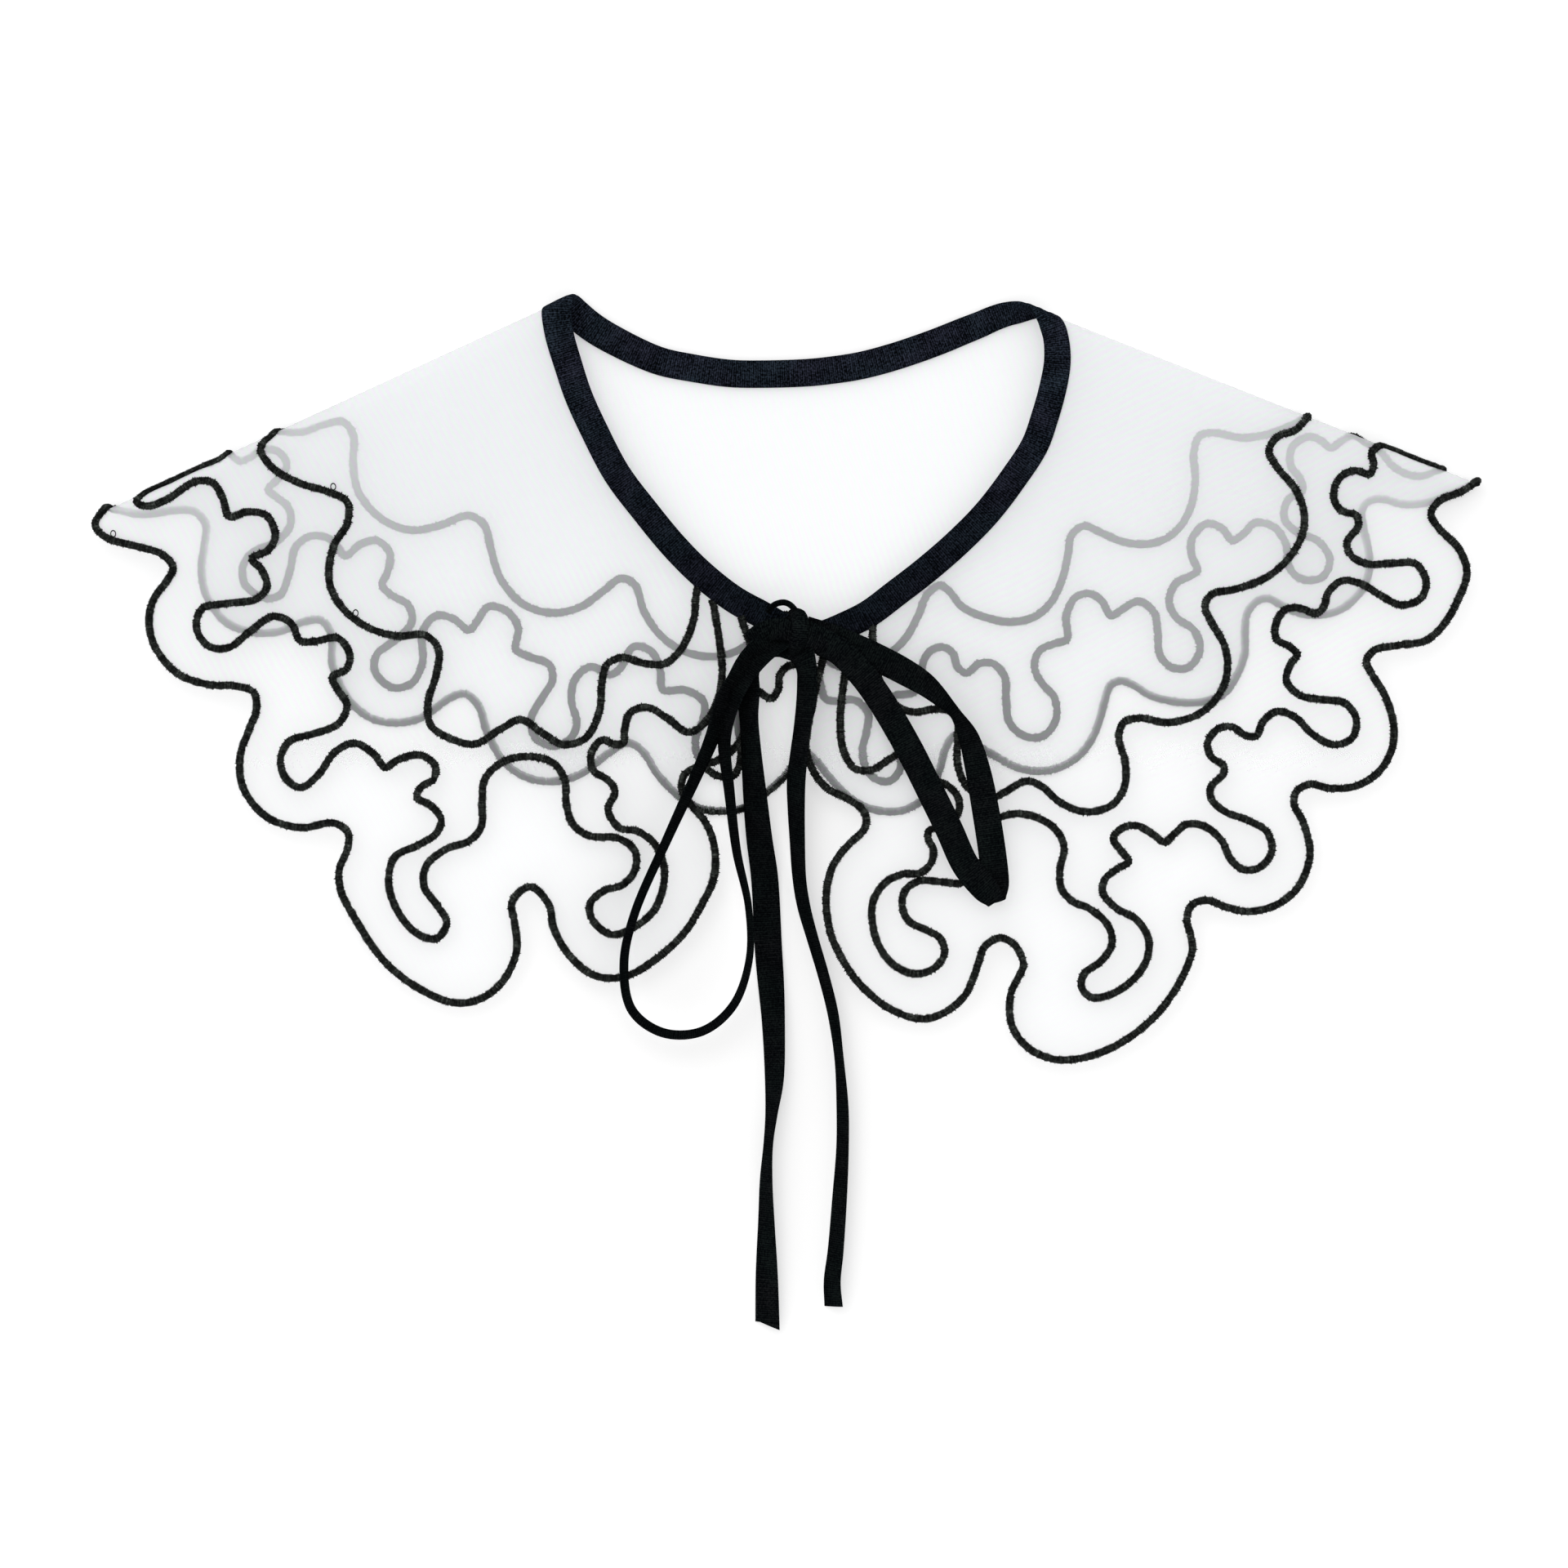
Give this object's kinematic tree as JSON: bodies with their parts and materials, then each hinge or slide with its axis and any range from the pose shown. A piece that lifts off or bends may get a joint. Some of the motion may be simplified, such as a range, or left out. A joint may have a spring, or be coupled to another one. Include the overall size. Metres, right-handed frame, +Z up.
{
  "type": "detachable collar",
  "caption": "Sheer short cape collar laid flat, folded over at both shoulders, with stitched cord scrolls, a scalloped hem, a ribbed neck tape and a tape bow at the front.",
  "frame": {"origin": "middle of the underside of the flat collar's bounding box", "axes": "+X to the right across the shoulders, +Y from the bow towards the back of the neck, +Z up from the surface it lies on"},
  "size_m": [0.5004, 0.376, 0.0219],
  "materials": {
    "organza": "sheer woven organza",
    "stitched_cord": "matte embroidery thread",
    "ribbed_tape": "matte ribbed tape"
  },
  "bodies": {
    "root": {"organza_panel": "organza", "edge_cord": "stitched_cord", "meander_cord": "stitched_cord", "inner_cord": "stitched_cord", "neck_binding": "ribbed_tape", "bow_knot": "ribbed_tape", "knot_turn": "ribbed_tape", "left_loop": "ribbed_tape", "right_loop": "ribbed_tape", "left_tail": "ribbed_tape", "right_tail": "ribbed_tape"}
  },
  "joints": []
}
